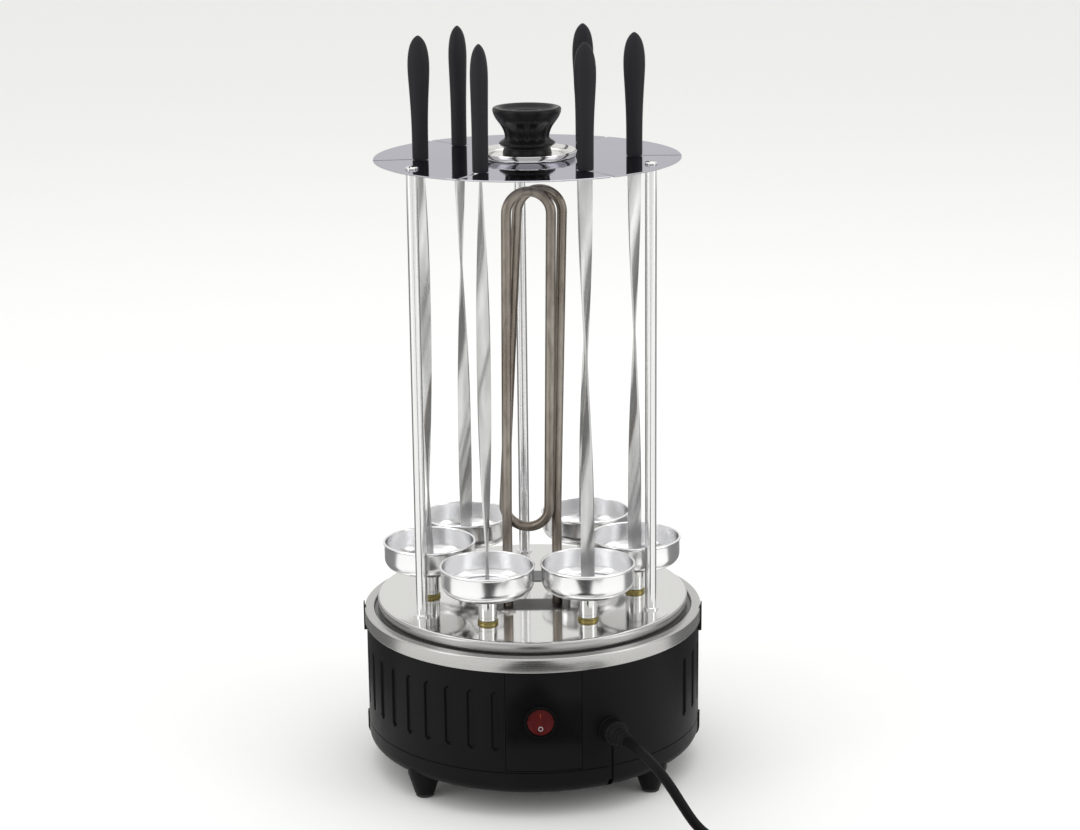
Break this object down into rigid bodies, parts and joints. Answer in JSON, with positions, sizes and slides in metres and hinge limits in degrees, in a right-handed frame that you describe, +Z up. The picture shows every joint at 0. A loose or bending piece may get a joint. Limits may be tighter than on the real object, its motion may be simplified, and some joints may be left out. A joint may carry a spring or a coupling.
{
  "type": "electric skewer grill",
  "caption": "Table grill with a round motor base, turning upright skewers over drip cups, a central tube heater, a top disc on rods and a mains cord.",
  "frame": {"origin": "on the table, under the middle of the round base", "axes": "+Z up along the heater, -Y towards the switch (the front), +X to the right"},
  "size_m": [0.2854, 0.4052, 0.5197],
  "materials": {
    "case_plastic": "black satin moulded plastic, fine grain",
    "panel_plastic": "black satin plastic, smooth",
    "foot_rubber": "matt rubber",
    "screw_steel": "zinc-plated",
    "switch_black": "gloss",
    "switch_red": "gloss",
    "polished_steel": "mirror polished stainless steel",
    "clip_plastic": "satin",
    "plate_steel": "plain pressed steel sheet",
    "bush_brass": "turned",
    "motor_steel": "zinc-plated",
    "gear_nylon": "natural nylon",
    "terminal_white": "unglazed",
    "heater_steel": "oxidised by heat, brown-grey",
    "rod_chrome": "bright",
    "knob_plastic": "satin",
    "cord_black": "satin",
    "tie_black": "matt",
    "cup_chrome": "bright",
    "blade_steel": "rolled stainless, light grain",
    "handle_plastic": "satin"
  },
  "bodies": {
    "base": {"bottom_pan": "case_plastic", "side_housing": "case_plastic", "switch_panel": "panel_plastic", "feet": "case_plastic", "foot_pads": "foot_rubber", "case_screws": "screw_steel", "switch_body": "switch_black", "trim_ring": "polished_steel", "side_clips": "clip_plastic", "deck_plate": "polished_steel", "bearing_plate": "plate_steel", "spindle_bushes": "bush_brass", "gearmotor": "motor_steel", "terminal_block": "terminal_white", "heater_tube": "heater_steel", "heater_bridge": "plate_steel", "heater_nuts": "screw_steel", "support_rods": "rod_chrome", "disc_screws": "rod_chrome", "top_disc": "polished_steel", "knob_dish": "polished_steel", "knob": "knob_plastic", "cord_gland": "cord_black", "cord": "cord_black", "cord_coil": "cord_black", "cord_tie": "tie_black", "plug": "cord_black"},
    "drive": {"drive_gear": "gear_nylon"},
    "pinion": {"motor_pinion": "bush_brass"},
    "rocker": {"switch_rocker": "switch_red"},
    "spindle_1": {"spindle_1": "rod_chrome", "spindle_gear_1": "gear_nylon"},
    "cup_1": {"cup_1": "cup_chrome"},
    "skewer_1": {"skewer_blade_1": "blade_steel", "skewer_handle_1": "handle_plastic"},
    "spindle_2": {"spindle_2": "rod_chrome", "spindle_gear_2": "gear_nylon"},
    "cup_2": {"cup_2": "cup_chrome"},
    "skewer_2": {"skewer_blade_2": "blade_steel", "skewer_handle_2": "handle_plastic"},
    "spindle_3": {"spindle_3": "rod_chrome", "spindle_gear_3": "gear_nylon"},
    "cup_3": {"cup_3": "cup_chrome"},
    "skewer_3": {"skewer_blade_3": "blade_steel", "skewer_handle_3": "handle_plastic"},
    "spindle_4": {"spindle_4": "rod_chrome", "spindle_gear_4": "gear_nylon"},
    "cup_4": {"cup_4": "cup_chrome"},
    "skewer_4": {"skewer_blade_4": "blade_steel", "skewer_handle_4": "handle_plastic"},
    "spindle_5": {"spindle_5": "rod_chrome", "spindle_gear_5": "gear_nylon"},
    "cup_5": {"cup_5": "cup_chrome"},
    "skewer_5": {"skewer_blade_5": "blade_steel", "skewer_handle_5": "handle_plastic"},
    "spindle_6": {"spindle_6": "rod_chrome", "spindle_gear_6": "gear_nylon"},
    "cup_6": {"cup_6": "cup_chrome"},
    "skewer_6": {"skewer_blade_6": "blade_steel", "skewer_handle_6": "handle_plastic"}
  },
  "joints": [
    {"name": "drive_spin", "type": "hinge", "parent": "base", "child": "drive", "pos_m": [0, 0, 0.106], "axis": [0, 0, 1], "continuous": true},
    {"name": "pinion_spin", "type": "hinge", "parent": "base", "child": "pinion", "pos_m": [-0.00441, 0.06311, 0.106], "axis": [0, 0, 1], "continuous": true},
    {"name": "spindle_1_spin", "type": "hinge", "parent": "base", "child": "spindle_1", "pos_m": [-0.03085, -0.06616, 0.106], "axis": [0, 0, 1], "continuous": true},
    {"name": "cup_1_lift", "type": "slide", "parent": "spindle_1", "child": "cup_1", "axis": [0, 0, 1], "range_m": [0, 0.02]},
    {"name": "skewer_1_lift", "type": "slide", "parent": "spindle_1", "child": "skewer_1", "axis": [0, 0, 1], "range_m": [0, 0.04]},
    {"name": "spindle_2_spin", "type": "hinge", "parent": "base", "child": "spindle_2", "pos_m": [0.03814, -0.06224, 0.106], "axis": [0, 0, 1], "continuous": true},
    {"name": "cup_2_lift", "type": "slide", "parent": "spindle_2", "child": "cup_2", "axis": [0, 0, 1], "range_m": [0, 0.02]},
    {"name": "skewer_2_lift", "type": "slide", "parent": "spindle_2", "child": "skewer_2", "axis": [0, 0, 1], "range_m": [0, 0.04]},
    {"name": "spindle_3_spin", "type": "hinge", "parent": "base", "child": "spindle_3", "pos_m": [0.07296, -0.00255, 0.106], "axis": [0, 0, 1], "continuous": true},
    {"name": "cup_3_lift", "type": "slide", "parent": "spindle_3", "child": "cup_3", "axis": [0, 0, 1], "range_m": [0, 0.02]},
    {"name": "skewer_3_lift", "type": "slide", "parent": "spindle_3", "child": "skewer_3", "axis": [0, 0, 1], "range_m": [0, 0.04]},
    {"name": "spindle_4_spin", "type": "hinge", "parent": "base", "child": "spindle_4", "pos_m": [0.03976, 0.06122, 0.106], "axis": [0, 0, 1], "continuous": true},
    {"name": "cup_4_lift", "type": "slide", "parent": "spindle_4", "child": "cup_4", "axis": [0, 0, 1], "range_m": [0, 0.02]},
    {"name": "skewer_4_lift", "type": "slide", "parent": "spindle_4", "child": "skewer_4", "axis": [0, 0, 1], "range_m": [0, 0.04]},
    {"name": "spindle_5_spin", "type": "hinge", "parent": "base", "child": "spindle_5", "pos_m": [-0.04789, 0.05509, 0.106], "axis": [0, 0, 1], "continuous": true},
    {"name": "cup_5_lift", "type": "slide", "parent": "spindle_5", "child": "cup_5", "axis": [0, 0, 1], "range_m": [0, 0.02]},
    {"name": "skewer_5_lift", "type": "slide", "parent": "spindle_5", "child": "skewer_5", "axis": [0, 0, 1], "range_m": [0, 0.04]},
    {"name": "spindle_6_spin", "type": "hinge", "parent": "base", "child": "spindle_6", "pos_m": [-0.07253, -0.00826, 0.106], "axis": [0, 0, 1], "continuous": true},
    {"name": "cup_6_lift", "type": "slide", "parent": "spindle_6", "child": "cup_6", "axis": [0, 0, 1], "range_m": [0, 0.02]},
    {"name": "skewer_6_lift", "type": "slide", "parent": "spindle_6", "child": "skewer_6", "axis": [0, 0, 1], "range_m": [0, 0.04]},
    {"name": "switch_rock", "type": "hinge", "parent": "base", "child": "rocker", "pos_m": [0.00435, -0.11862, 0.0707], "axis": [0.9993, 0.0366, 0], "range_deg": [0, 14]}
  ],
  "couplings": [
    {"joint": "pinion_spin", "follows": "drive_spin", "ratio": -3.3333},
    {"joint": "spindle_1_spin", "follows": "drive_spin", "ratio": -2},
    {"joint": "spindle_2_spin", "follows": "drive_spin", "ratio": -2},
    {"joint": "spindle_3_spin", "follows": "drive_spin", "ratio": -2},
    {"joint": "spindle_4_spin", "follows": "drive_spin", "ratio": -2},
    {"joint": "spindle_5_spin", "follows": "drive_spin", "ratio": -2},
    {"joint": "spindle_6_spin", "follows": "drive_spin", "ratio": -2}
  ]
}
